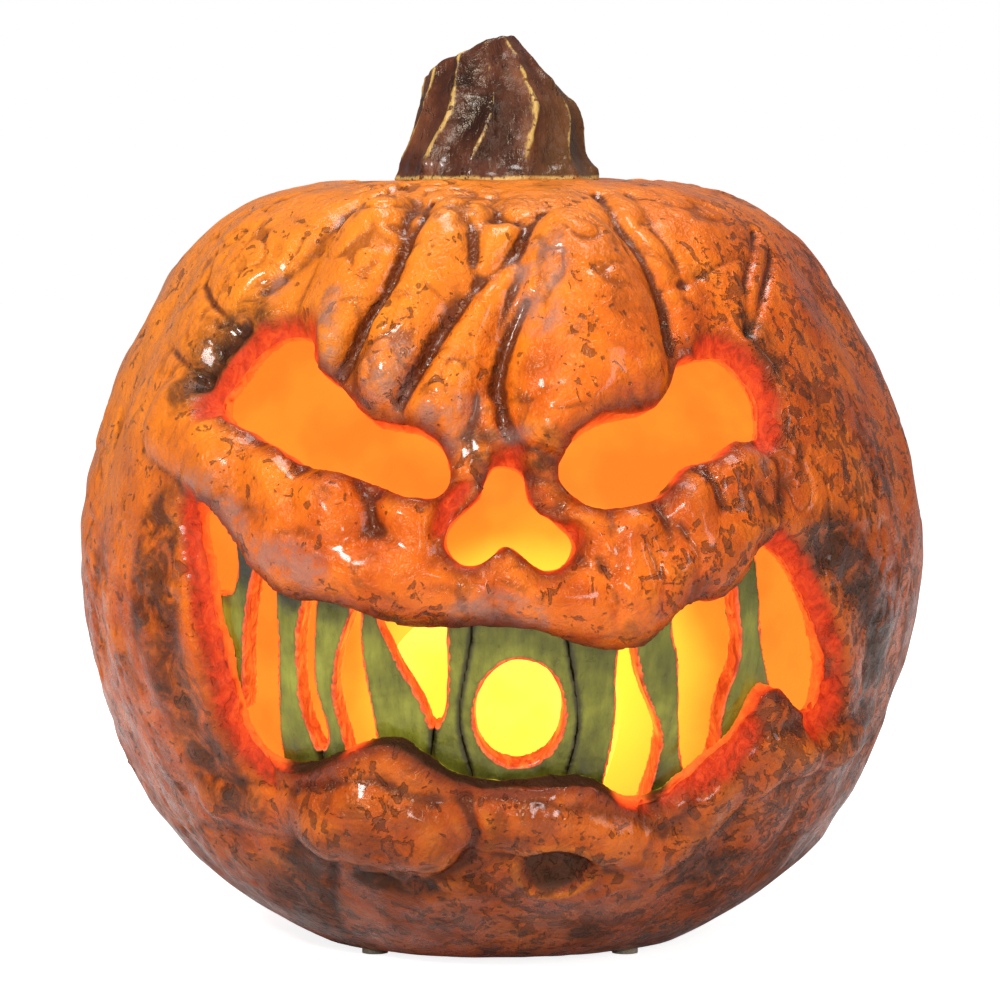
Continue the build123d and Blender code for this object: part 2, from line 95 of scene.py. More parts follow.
def studio():
    middle = (0, 0, 0.11)
    softbox("key", (-0.75, -1.25, 1.05), middle, (0.3, 0.3), 23)
    softbox("side_strip", (1.35, -0.9, 0.75), middle, (0.3, 0.9), 6)
    softbox("top", (0.15, 0.1, 1.4), middle, (0.5, 0.4), 9)
    softbox("front", (0.25, -1.7, 0.55), middle, (0.22, 0.22), 4)
    world = bpy.data.worlds.new("studio")
    world.use_nodes = True
    bare_backdrop(world.node_tree, world.node_tree.nodes["Background"].inputs["Strength"], 0.24, 1.0)
    world.node_tree.nodes["Background"].inputs["Color"].default_value = (1, 1, 1, 1)
    bpy.context.scene.world = world
    bpy.context.scene.view_settings.view_transform = "Standard"
    bm = bmesh.new()
    bmesh.ops.create_circle(bm, cap_ends=True, segments=96, radius=6)
    mesh = bpy.data.meshes.new("floor")
    bm.to_mesh(mesh)
    bm.free()
    floor = bpy.data.objects.new("floor", mesh)
    bpy.context.scene.collection.objects.link(floor)
    mat = bpy.data.materials.new("pale_floor")
    mat.use_nodes = True
    shader = mat.node_tree.nodes["Principled BSDF"].inputs
    shader["Base Color"].default_value = (0.8, 0.8, 0.8, 1)
    shader["Roughness"].default_value = 0.9
    shader["Emission Color"].default_value = (1, 1, 1, 1)
    bare_backdrop(mat.node_tree, shader["Emission Strength"], 0.0, 0.86)
    mesh.materials.append(mat)


camera()
studio()


# ---------------------------------------------------------------- noise on numpy arrays
def lattice(cells, seed):
    """A repeatable number from 0 to 1 for each whole-numbered corner."""
    h = cells[:, 0] * 374761393 + cells[:, 1] * 668265263 + cells[:, 2] * 2147483647 + seed * 974711
    h = (h ^ (h >> 13)) * 1274126177
    return ((h ^ (h >> 16)) & 65535) / 65535


def soft_noise(points, size, seed):
    """Smooth value noise from -1 to 1 with bumps of this size in metres."""
    p = points / size + 100.0 + seed * 7.31
    cell = np.floor(p).astype(np.int64)
    f = p - cell
    f = f * f * (3 - 2 * f)
    total = np.zeros(len(points))
    for corner in range(8):
        step = np.array([corner & 1, corner >> 1 & 1, corner >> 2 & 1])
        weight = np.prod(np.where(step, f, 1 - f), axis=1)
        total += weight * lattice(cell + step, seed)
    return 2 * total - 1


def winding_tracks(points, size, seed):
    """Winding furrows: 1 along their middle, 0 between them."""
    shift = np.stack([soft_noise(points, size * 1.4, seed + s) for s in (1, 2, 3)], axis=1)
    return np.exp(-(soft_noise(points + 0.4 * size * shift, size, seed) / 0.17) ** 2)


def smoothstep(low, high, value):
    t = np.clip((value - low) / (high - low), 0, 1)
    return t * t * (3 - 2 * t)


# ---------------------------------------------------------------- meshes as arrays
def corners(mesh):
    co = np.empty(len(mesh.vertices) * 3)
    mesh.vertices.foreach_get("co", co)
    return co.reshape(-1, 3)


def set_corners(mesh, co):
    mesh.vertices.foreach_set("co", co.ravel())
    mesh.update()


def edge_ends(mesh):
    ends = np.empty(len(mesh.edges) * 2, dtype=np.int64)
    mesh.edges.foreach_get("vertices", ends)
    return ends.reshape(-1, 2)


def blurred(values, ends, rounds):
    """Each value is mixed with its neighbours' mean, a number of times."""
    a, b = ends[:, 0], ends[:, 1]
    count = np.bincount(a, minlength=len(values)) + np.bincount(b, minlength=len(values))
    count = np.maximum(count, 1)
    for _ in range(rounds):
        near = np.bincount(a, values[b], len(values)) + np.bincount(b, values[a], len(values))
        values = 0.5 * values + 0.5 * near / count
    return values


def merged_copy(nodes):
    """The CAD nodes' meshes with their loose triangles joined, and the faces where they meet left out."""
    bm = bmesh.new()
    for node in nodes:
        bm.from_mesh(frame["nodes"][node].data)
    if len(nodes) > 1:
        level = max(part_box(n)[1].z for n in nodes if n.endswith("lower"))
        meeting = ((0, 0.0), (1, 0.0), (2, level))
        inner = [f for f in bm.faces
                 if any(all(abs(v.co[axis] - at) < 0.01 * MM for v in f.verts) for axis, at in meeting)]
        bmesh.ops.delete(bm, geom=inner, context="FACES")
    bmesh.ops.remove_doubles(bm, verts=bm.verts, dist=0.005 * MM)
    return bm


def new_piece(name, mesh):
    piece = bpy.data.objects.new(name, mesh)
    bpy.context.scene.collection.objects.link(piece)
    return piece


def applied(piece):
    """The piece's mesh with its modifiers worked in."""
    graph = bpy.context.evaluated_depsgraph_get()
    mesh = bpy.data.meshes.new_from_object(piece.evaluated_get(graph))
    piece.modifiers.clear()
    piece.data = mesh
    return mesh


def remeshed_node(nodes, name, voxel):
    """An evenly divided copy of some CAD nodes, and a search tree of the nodes' own faces."""
    bm = merged_copy(nodes)
    tree = BVHTree.FromBMesh(bm)
    mesh = bpy.data.meshes.new(name)
    bm.to_mesh(mesh)
    bm.free()
    piece = new_piece(name, mesh)
    remesh = piece.modifiers.new("even", "REMESH")
    remesh.mode = "VOXEL"
    remesh.voxel_size = voxel
    applied(piece)
    return piece, tree


def cad_normals(tree, co):
    """The CAD face normal nearest to each corner."""
    return np.array([tree.find_nearest(p)[1] for p in co])


def thinned(piece, triangles, layers):
    """Cuts the mesh down to a number of triangles and carries named values over to its new corners."""
    mesh = piece.data
    find = kdtree.KDTree(len(mesh.vertices))
    for i, p in enumerate(corners(mesh)):
        find.insert(p, i)
    find.balance()
    mesh.calc_loop_triangles()
    count = len(mesh.loop_triangles)
    if count > triangles:
        cut = piece.modifiers.new("thin", "DECIMATE")
        cut.ratio = triangles / count
        mesh = applied(piece)
    source = np.array([find.find(p)[1] for p in corners(mesh)])
    for name, values in layers.items():
        layer = mesh.attributes.new(name, "FLOAT", "POINT")
        layer.data.foreach_set("value", values[source].astype(np.float32))
    mesh.shade_smooth()
    return mesh


# ---------------------------------------------------------------- sculpted face
# Places are (x, height, radius) in millimetres as they stand on the front of the pumpkin.
LUMPS = [
    (9.0, [(17, 190, 15), (20, 176, 21), (20, 163, 21), (17, 151, 17), (13, 145, 12)]),
    (7.5, [(30, 172, 14), (34, 160, 12)]),
    (5.5, [(-30, 199, 9), (-36, 188, 13), (-41, 176, 13), (-43, 167, 9)]),
    (6.0, [(-11, 198, 9), (-17, 185, 11), (-24, 170, 10), (-29, 158, 9)]),
    (6.5, [(0, 193, 7), (-5, 174, 8), (-11, 160, 10), (-15, 150, 10)]),
    (4.5, [(-86, 146, 12), (-75, 139, 12)]),
    (6.0, [(-74, 134, 12), (-66, 128, 12)]),
    (6.5, [(-60, 131, 10), (-54, 122, 10)]),
    (6.5, [(-46, 128, 9), (-42, 120, 10)]),
    (6.0, [(33, 120, 9), (37, 111, 11)]),
    (6.0, [(48, 126, 9), (50, 115, 10)]),
    (6.5, [(63, 132, 11), (64, 122, 11)]),
    (7.0, [(-74, 124, 10), (-66, 118, 11), (-52, 112, 12), (-38, 108, 12), (-25, 107, 12), (-8, 106, 11),
           (6, 106, 11), (18, 103, 12), (30, 101, 13), (41, 106, 12), (52, 113, 13), (63, 118, 11)]),
    (5.0, [(-24, 124, 9), (-20, 116, 9)]),
    (4.0, [(22, 122, 8), (26, 113, 8)]),
    (3.0, [(0, 138, 5), (-2, 150, 5)]),
    (8.0, [(-44, 42, 12), (-33, 43, 14), (-20, 40, 12)]),
    (4.5, [(-16, 43, 8), (2, 41, 8), (20, 40, 8), (31, 36, 8), (40, 32, 8), (50, 38, 8), (60, 48, 8),
           (72, 58, 8), (84, 60, 7), (93, 60, 6)]),
    (3.0, [(-74, 44, 8), (-62, 43, 8), (-52, 44, 7)]),
    (2.0, [(5, 24, 12), (25, 22, 12)]),
]
CREASES = [
    (2.6, [(-27, 206, 2), (-40, 201, 3), (-48, 194, 4), (-54, 187, 4), (-62, 181, 4)]),
    (3.4, [(-16, 202, 1.4), (-19, 195, 1.6), (-24, 187, 1.8), (-29, 177, 1.8), (-35, 167, 1.8),
           (-41, 159, 1.6)]),
    (4.2, [(12, 199, 1.4), (4, 190, 2.2), (-5, 181, 2.2), (-11, 172, 2), (-18, 163, 2), (-26, 152, 1.8)]),
    (2.4, [(-9, 202, 1.1), (-8, 192, 1.3), (-6, 181, 1.4)]),
    (4.2, [(6, 176, 1.6), (2, 167, 2), (-1, 157, 2), (1, 148, 2.2), (6, 141, 2), (14, 137, 2)]),
    (2.2, [(3, 180, 1.2), (-3, 166, 1.2), (-6, 154, 1.4), (-3, 143, 1.4), (4, 136, 1.2)]),
    (3.0, [(26, 205, 1.8), (32, 196, 2), (38, 187, 2), (43, 177, 2), (45, 166, 2)]),
    (1.8, [(34, 205, 2), (41, 196, 2), (47, 186, 2), (49, 179, 2)]),
    (1.6, [(43, 181, 0.9), (49, 183, 1), (56, 185, 0.9), (65, 188, 0.8)]),
    (2.2, [(68, 194, 1), (65, 182, 1.3), (65, 169, 1.4)]),
    (2.0, [(72, 188, 1), (69, 178, 1.3), (66, 169, 1.2)]),
    (1.8, [(-76, 189, 1), (-79, 181, 1.2), (-75, 176, 1.2), (-69, 171, 1.4)]),
    (1.6, [(-98, 166, 1), (-86, 163, 1.1), (-78, 157, 1.3)]),
    (5.0, [(-68, 171, 4), (-74, 165, 5), (-79, 156, 4)]),
    (1.6, [(24, 114, 0.9), (28, 104, 1.1), (29, 93, 1.1)]),
    (1.6, [(35, 118, 0.9), (39, 107, 1), (39, 95, 1)]),
    (1.5, [(44, 121, 0.9), (48, 112, 1), (47, 102, 1)]),
    (2.2, [(-47, 36, 1.2), (-44, 30, 1.6), (-45, 20, 2), (-42, 8, 2.5)]),
    (2.0, [(-86, 118, 6), (-88, 98, 7), (-84, 75, 6), (-77, 56, 6)]),
    (2.2, [(80, 114, 5), (94, 98, 6), (101, 78, 6), (98, 62, 5)]),
    (2.2, [(-36, 27, 1.6), (-30, 27, 2), (-26, 26, 1.2)]),
    (3.0, [(-9, 49, 1.4), (-6, 41, 1.9), (-9, 32, 1.7), (-16, 27, 1.6)]),
    (2.4, [(-22, 27, 2.2), (-17, 24, 2.4)]),
    (1.8, [(68, 58, 4), (62, 44, 4), (56, 28, 4)]),
    (1.6, [(84, 66, 3), (80, 44, 4), (70, 24, 4)]),
]
SCAB = (15, 31, 9.5, 2.6)       # oval scar on the chin: x, height, radius, depth
DUSTY = [[(-45, 164, 9), (-43, 171, 5)], [(-29, 155, 8), (-26, 162, 6)], [(-14, 147, 8)], [(2, 144, 5)],
         [(-74, 124, 9), (-66, 121, 8)], [(-57, 112, 6), (-46, 109, 7)], [(66, 140, 6)],
         [(8, 184, 7), (9, 172, 6)], [(-10, 100, 5), (10, 99, 5)], [(-58, 181, 5)]]
# Dark patches: real stains on the chin and lower left, and painted shade under the lips, beside the mouth and
# at the eyes' outer corners.
DARK_STAINS_AND_SHADE = [[(-88, 122, 9), (-92, 100, 10), (-86, 76, 9), (-78, 56, 9), (-66, 46, 7)],
           [(84, 118, 9), (97, 100, 9), (104, 80, 9), (100, 62, 7)],
           [(-66, 173, 8), (-76, 165, 9), (-80, 155, 8)], [(-50, 34, 9), (-52, 20, 12), (-48, 8, 10)],
           [(-4, 140, 7), (6, 135, 6), (-2, 130, 5)], [(66, 172, 6), (72, 160, 6)],
           [(-60, 100, 5), (-44, 99, 4), (-24, 96, 4), (0, 96, 4)], [(15, 31, 9)], [(22, 10, 9)],
           [(-36, 28, 5), (-20, 25, 6)], [(48, 30, 8), (56, 26, 7)]]

# Where the opening's edge is cut back in a wide slope that the light catches.
FLARES = [[(-77, 151, 9), (-72, 163, 9), (-61, 168, 8), (-50, 166, 6)],
          [(58, 166, 7), (67, 161, 8), (72, 151, 8), (71, 143, 6)],
          [(2, 140, 5), (2, 136, 5)], [(-13, 121, 4), (-10, 128, 4)], [(20, 118, 4)],
          [(-84, 122, 9), (-85, 104, 10), (-80, 84, 10), (-74, 64, 9), (-66, 52, 8)],
          [(72, 113, 6), (84, 105, 8), (92, 90, 9), (93, 76, 8), (85, 68, 6)],
          [(40, 46, 6), (52, 52, 7), (66, 62, 6)]]
FLARE_WIDTH = 0.0058
FLARE_DEPTH = 0.0050
RIM_WIDTH = 0.0026              # the rounded lip of every opening
RIM_DROP = 0.0020
EATEN_DEPTH = 0.0011
BASE_TOP = 0.0125               # below this the shell is the flat floor round the light unit
SHELL_VOXEL, SHELL_TRIANGLES = 1.05 * MM, 195000
TOOTH_VOXEL, TOOTH_TRIANGLES = 0.6 * MM, 16000
STEM_VOXEL, STEM_TRIANGLES = 0.6 * MM, 60000

TEETH = sorted(n for n in frame["nodes"] if n.startswith("tooth_"))
SHELL = sorted(n for n in frame["nodes"] if "shell" in n)


class Skin:
    """The shell as rays from the focus: where the outer skin and the inner wall lie on each ray."""

    def __init__(self, co, normal):
        ray = co - FOCUS
        self.reach = np.linalg.norm(ray, axis=1)
        self.ray = ray / self.reach[:, None]
        self.facing = np.einsum("ij,ij->i", normal, self.ray)
        self.rise = np.arcsin(np.clip(self.ray[:, 2], -1, 1))
        self.steps = np.radians(np.arange(-88, 90, 2.5))
        self.outer = self.table(self.facing > 0.5, 92)
        self.inner = self.table(self.facing < -0.6, 50)
        outer = np.interp(self.rise, self.steps, self.outer)
        inner = np.interp(self.rise, self.steps, self.inner)
        self.reach_inside = inner
        self.through = np.clip((self.reach - inner) / (outer - inner), 0, 1)
        self.on_crest = FOCUS + self.ray * outer[:, None]

    def table(self, chosen, share):
        rise, reach = self.rise[chosen], self.reach[chosen]
        found, at = [], []
        for step in self.steps:
            near = reach[np.abs(rise - step) < math.radians(2)]
            if len(near) > 8:
                found.append(np.percentile(near, share))
                at.append(step)
        return np.interp(self.steps, at, found)

    def place(self, x, height):
        """A point on the crest surface, on the front, from x and height in millimetres."""
        heights = FOCUS[2] + self.outer * np.sin(self.steps)
        widths = self.outer * np.cos(self.steps)
        order = np.argsort(heights)
        width = np.interp(height * MM, heights[order], widths[order])
        x = np.clip(x * MM, -width * 0.999, width * 0.999)
        return np.array([x, -math.sqrt(width * width - x * x), height * MM])

    def share_of(self, points, stroke):
        """How far each point is from a stroke, in shares of the stroke's radius."""
        spots = [(self.place(x, z), r * MM) for x, z, r in stroke]
        if len(spots) == 1:
            return np.linalg.norm(points - spots[0][0], axis=1) / spots[0][1]
        best = np.full(len(points), 99.0)
        for (a, ra), (b, rb) in zip(spots, spots[1:]):
            along = b - a
            t = np.clip((points - a) @ along / (along @ along), 0, 1)
            gap = np.linalg.norm(points - (a + t[:, None] * along), axis=1)
            best = np.minimum(best, gap / (ra + t * (rb - ra)))
        return best


def sculpted_height(skin, points):
    """Height in metres that the sculpting adds on the crest surface."""
    high = np.zeros(len(points))
    front = points[:, 1] < 0.01
    spots = points[front]
    rise = np.zeros(len(spots))
    wobble = 0.0016 * np.stack([soft_noise(spots, 0.016, s) for s in (1, 2, 3)], axis=1)
    for height, stroke in LUMPS:
        q = skin.share_of(spots + wobble, stroke)
        lump = height * MM * np.clip(1 - q * q, 0, 1) ** 0.8
        rise = np.maximum(rise, lump) + 0.12 * np.minimum(rise, lump)
    for depth, stroke in CREASES:
        q = skin.share_of(spots + 0.6 * wobble, stroke)
        rise -= depth * MM * np.exp(-q * q)
    x, z, radius, depth = SCAB
    q = skin.share_of(spots + wobble, [(x, z, radius)])
    rise -= depth * MM * smoothstep(1.0, 0.8, q) - 0.8 * MM * np.exp(-((q - 1.05) / 0.12) ** 2)
    high[front] = rise
    high += 0.0011 * soft_noise(points, 0.03, 11) + 0.0008 * soft_noise(points, 0.012, 12)
    high += 0.0004 * soft_noise(points, 0.0055, 13)
    return high


def eaten_skin(points):
    """Where the skin is eaten out in winding furrows and pits, from 0 to 1."""
    brow = smoothstep(0.130, 0.165, points[:, 2]) * smoothstep(0.085, 0.05, np.abs(points[:, 0]))
    brow *= points[:, 1] < 0.0
    cheek = smoothstep(0.030, 0.016, np.abs(points[:, 2] - 0.118))
    patch = smoothstep(-0.15, 0.25, soft_noise(points, 0.021, 14))
    tracks = winding_tracks(points, 0.0062, 15)
    pits = smoothstep(0.30, 0.62, soft_noise(points, 0.0046, 19))
    return np.clip(patch * (0.35 + 0.65 * np.maximum(brow, 0.5 * cheek)) * tracks + 0.6 * pits * patch, 0, 1)


def strokes_mask(skin, strokes):
    """1 inside the strokes and 0 outside, with a wavering edge."""
    mask = np.zeros(len(skin.on_crest))
    front = skin.on_crest[:, 1] < 0.01
    spots = skin.on_crest[front]
    spots = spots + 0.004 * np.stack([soft_noise(spots, 0.01, s) for s in (5, 6, 7)], axis=1)
    found = np.zeros(len(spots))
    for stroke in strokes:
        found = np.maximum(found, smoothstep(1.25, 0.55, skin.share_of(spots, stroke)))
    mask[front] = found
    return mask


def distance_to(points, marked):
    """Distance from each point to the nearest marked point, for the points on the front."""
    find = kdtree.KDTree(int(marked.sum()))
    for i, p in enumerate(points[marked]):
        find.insert(p, i)
    find.balance()
    gap = np.full(len(points), 1.0)
    for i in np.nonzero(points[:, 1] < 0.03)[0]:
        gap[i] = find.find(points[i])[2]
    return gap


def clear_of(points, nodes):
    """How far each point stands outside the nodes' surfaces, below zero inside them."""
    bm = bmesh.new()
    for node in nodes:
        bm.from_mesh(frame["nodes"][node].data)
    tree = BVHTree.FromBMesh(bm)
    bm.free()
    gap = np.empty(len(points))
    for i, p in enumerate(points):
        at, normal, _, distance = tree.find_nearest(p)
        gap[i] = distance if (Vector(p) - at).dot(normal) > 0 else -distance
    return gap


def pumpkin_shell(nodes):
    """The carved body: sculpted brows, lips and wrinkles, rounded openings and their lit edges."""
    piece, tree = remeshed_node(nodes, "carved_shell", SHELL_VOXEL)
    mesh = piece.data
    co = corners(mesh)
    normal = cad_normals(tree, co)
    ends = edge_ends(mesh)
    skin = Skin(co, normal)
    above_base = co[:, 2] > BASE_TOP
    wall = blurred(((np.abs(skin.facing) < 0.42) & above_base).astype(float), ends, 2)
    hollow = blurred(((skin.facing < -0.42) & above_base).astype(float), ends, 2)
    outside = skin.facing > 0.42
    rim = outside[ends[:, 0]] != outside[ends[:, 1]]
    marked = np.zeros(len(co), dtype=bool)
    marked[ends[rim].ravel()] = True
    marked &= above_base & (skin.through > 0.7)
    rim_gap = distance_to(co, marked)

    flare = strokes_mask(skin, FLARES)
    slope = np.clip(1 - rim_gap / FLARE_WIDTH, 0, 1)
    high = blurred(sculpted_height(skin, skin.on_crest), ends, 3)
    shape = high.copy()
    eaten = eaten_skin(skin.on_crest) * (1 - flare * slope)
    high -= EATEN_DEPTH * eaten
    high -= RIM_DROP * np.exp(-(rim_gap / RIM_WIDTH) ** 2) + FLARE_DEPTH * flare * slope
    glowing = np.maximum(wall, flare * smoothstep(0.0, 0.45, slope) * outside)
    # Painted shadow: where a tooth stands right behind a mouth wall, the wall gets no glow.
    teeth_shadow = np.zeros(len(co))
    mouth = np.nonzero((glowing > 0.02) & (co[:, 2] < 0.13))[0]
    behind = FOCUS + skin.ray[mouth] * (skin.reach_inside[mouth] - 0.003)[:, None]
    teeth_shadow[mouth] = smoothstep(0.0022, 0.0004, clear_of(behind, TEETH))
    across, up = co[mouth, 0], co[mouth, 2]
    teeth_shadow[mouth] *= (across > -0.055) & (across < np.where(up < 0.09, 0.043, 0.065))
    teeth_shadow = blurred(teeth_shadow, ends, 4)
    settle = smoothstep(0.010, 0.030, co[:, 2]) * 0.9 + 0.1
    under_stem = smoothstep(0.030, 0.040, np.hypot(co[:, 0], co[:, 1])) + (co[:, 2] < 0.15)
    share = skin.through ** 1.2 * settle * np.clip(under_stem, 0, 1)
    moved = co + skin.ray * (high * share)[:, None]
    carve = 0.0007 * soft_noise(co, 0.007, 21) + 0.0004 * soft_noise(co, 0.003, 22)
    moved += normal * (carve * wall * above_base)[:, None]

    relief = np.clip((shape - blurred(shape, ends, 24)) / 0.0011, -1, 1) * (1 - wall) * (1 - hollow)
    broad = np.clip((shape - blurred(shape, ends, 110)) / 0.003, -1, 1) * (1 - wall) * (1 - hollow)
    through = np.where(outside, 1 - 0.45 * flare * slope, skin.through * (1 - 0.3 * flare))
    layers = {
        "wall": glowing, "hollow": hollow, "relief": relief, "broad": broad, "through": through,
        "dusty": strokes_mask(skin, DUSTY), "stain_and_shade": strokes_mask(skin, DARK_STAINS_AND_SHADE), "teeth_shadow": teeth_shadow,
        "rim": np.exp(-rim_gap / 0.004) * above_base, "eaten": eaten,
        "scab": strokes_mask(skin, [[SCAB[:3]]]),
    }
    set_corners(mesh, moved)
    thinned(piece, SHELL_TRIANGLES, layers)
    return piece


def tooth(node):
    """One clay slab, worked by hand; its flanks close up on a neighbour that it touches."""
    piece, tree = remeshed_node([node], "clay_" + node, TOOTH_VOXEL)
    mesh = piece.data
    co = corners(mesh)
    normal = cad_normals(tree, co)
    ends = edge_ends(mesh)
    ray = co - FOCUS
    ray /= np.linalg.norm(ray, axis=1)[:, None]
    facing = np.einsum("ij,ij->i", normal, ray)
    side = blurred((np.abs(facing) < 0.45).astype(float), ends, 1)
    back = blurred((facing < -0.45).astype(float), ends, 1)
    front = facing > 0.45
    seam = np.zeros(len(co))
    flank = np.nonzero(side > 0.02)[0]
    gap = clear_of(co[flank], [n for n in TEETH if n != node])
    seam[flank] = smoothstep(0.0026, 0.0014, gap)
    push = np.zeros(len(co))
    push[flank] = (0.5 * np.maximum(gap, 0) + 0.00012) * smoothstep(0.0022, 0.0016, gap)
    seam = np.maximum(blurred(seam, ends, 2), 0)
    lit = side * (1 - seam)
    edge = np.clip(blurred(side, ends, 14) * 1.4, 0, 1)
    lit_edge = np.clip(blurred(lit, ends, 3) * 2.2, 0, 1)
    bump = 0.0005 * soft_noise(co, 0.008, 31) + 0.0003 * soft_noise(co * (1, 1, 0.3), 0.0022, 32)
    moved = co + ray * (bump * front)[:, None] + normal * (0.0003 * soft_noise(co, 0.004, 33))[:, None]
    moved = np.stack([blurred(moved[:, i], ends, 2) for i in range(3)], axis=1)
    moved += normal * (push * side)[:, None]
    set_corners(mesh, moved)
    layers = {"wall": side, "hollow": back, "edge": edge, "lit": np.maximum(lit, lit_edge)}
    thinned(piece, TOOTH_TRIANGLES, layers)
    return piece


def stem():
    """The ribbed stem, rough as bark, with its foot spread on the body."""
    piece, tree = remeshed_node(["stem"], "ribbed_stem", STEM_VOXEL)
    mesh = piece.data
    co = corners(mesh)
    normal = cad_normals(tree, co)
    ends = edge_ends(mesh)
    seat = max(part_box(n)[1].z for n in SHELL)
    lean = -0.001 - 0.006 * smoothstep(seat + 0.014, seat + 0.04, co[:, 2])
    middle = np.stack([lean, 0 * co[:, 2]], axis=1)
    away = np.linalg.norm(co[:, :2] - middle, axis=1)
    body = smoothstep(seat + 0.0005, seat + 0.003, co[:, 2])
    rough = 0.0007 * soft_noise(co * (1, 1, 0.35), 0.004, 41) + 0.0004 * soft_noise(co, 0.002, 42)
    foot = smoothstep(seat + 0.009, seat + 0.001, co[:, 2]) * body
    rough += foot * 0.0014 * soft_noise(co, 0.006, 43)
    moved = co + normal * (rough * body)[:, None]
    smooth = blurred(away, ends, 140)
    relief = np.clip((away - smooth) / 0.0017, -1, 1)
    moved = np.stack([blurred(moved[:, i], ends, 6) for i in range(3)], axis=1)
    set_corners(mesh, moved)
    thinned(piece, STEM_TRIANGLES, {"relief": relief, "foot": foot})
    return piece


# ---------------------------------------------------------------- mixing paint
def shade(red, green, blue):
    """A colour given as 0 to 255 per channel, as the light values a shader takes."""
    def light(c):
        c /= 255
        return c / 12.92 if c <= 0.04045 else ((c + 0.055) / 1.055) ** 2.4
    return light(red), light(green), light(blue), 1.0


class Mixer:
    """Adds nodes to a material or a node group and joins them up."""

    def __init__(self, tree):
        self.tree = tree

    def add(self, kind, inputs=(), **settings):
        node = self.tree.nodes.new(kind)
        for name, value in settings.items():
            setattr(node, name, value)
        for socket, value in dict(inputs).items():
            self.feed(node.inputs[socket], value)
        return node

    def feed(self, socket, value):
        if isinstance(value, bpy.types.NodeSocket):
            self.tree.links.new(value, socket)
        else:
            socket.default_value = value

    def place(self):
        return self.add("ShaderNodeTexCoord").outputs["Object"]

    def stretched(self, where, scale):
        return self.add("ShaderNodeMapping", {"Vector": where, "Scale": scale}).outputs[0]

    def noise(self, where, size, detail=3.0, rough=0.55, warp=0.0):
        """Cloudy noise with blobs of this size in metres."""
        settings = {"Vector": where, "Scale": 1 / size, "Detail": detail, "Roughness": rough,
                    "Distortion": warp}
        return self.add("ShaderNodeTexNoise", settings).outputs["Fac"]

    def cells(self, where, size, feature="F1"):
        return self.add("ShaderNodeTexVoronoi", {"Vector": where, "Scale": 1 / size}, feature=feature
                        ).outputs["Distance"]

    def sum(self, a, b):
        return self.maths("ADD", a, b)

    def maths(self, operation, a, b=0.0):
        return self.add("ShaderNodeMath", {0: a, 1: b}, operation=operation).outputs[0]

    def times(self, a, b):
        return self.maths("MULTIPLY", a, b)

    def between(self, value, low, high, start=0.0, end=1.0):
        """A smooth step: start where the value is low and end where it is high."""
        span = {"Value": value, "From Min": low, "From Max": high, "To Min": start, "To Max": end}
        return self.add("ShaderNodeMapRange", span, interpolation_type="SMOOTHSTEP").outputs[0]

    def blend(self, share, a, b, how="MIX"):
        node = self.add("ShaderNodeMix", {0: share, 6: a, 7: b}, data_type="RGBA", blend_type=how)
        return node.outputs[2]

    def worn(self, name):
        """A value that the sculpting left on the mesh."""
        return self.add("ShaderNodeAttribute", attribute_name=name).outputs["Fac"]

    def spread(self, value, stops):
        """A colour for each value, softly mixed between the stops."""
        node = self.add("ShaderNodeValToRGB", {"Fac": value})
        ramp = node.color_ramp
        while len(ramp.elements) < len(stops):
            ramp.elements.new(0.5)
        for element, (at, colour) in zip(ramp.elements, stops):
            element.position = at
            element.color = colour
        return node.outputs["Color"]

    def group(self, name, inputs):
        node = self.add("ShaderNodeGroup", node_tree=bpy.data.node_groups[name])
        for socket, value in inputs.items():
            self.feed(node.inputs[socket], value)
        return node.outputs

    def bump(self, height, depth, strength=1.0, onto=None):
        """Turns a height into a normal; depth is in metres for a height from 0 to 1."""
        node = self.add("ShaderNodeBump", {"Height": height, "Distance": depth, "Strength": strength})
        if onto is not None:
            self.feed(node.inputs["Normal"], onto)
        return node.outputs["Normal"]


def effect(name, inputs, outputs):
    """An empty node group with named sockets; gives its mixer, its inputs and a way to fill its outputs."""
    tree = bpy.data.node_groups.new(name, "ShaderNodeTree")
    for socket, kind, value in inputs:
        made = tree.interface.new_socket(socket, in_out="INPUT", socket_type=kind)
        if value is not None:
            made.default_value = value
    for socket, kind in outputs:
        tree.interface.new_socket(socket, in_out="OUTPUT", socket_type=kind)
    mixer = Mixer(tree)
    given = mixer.add("NodeGroupInput").outputs
    result = mixer.add("NodeGroupOutput")
    return mixer, given, result.inputs


FLOAT, VECTOR = "NodeSocketFloat", "NodeSocketVector"


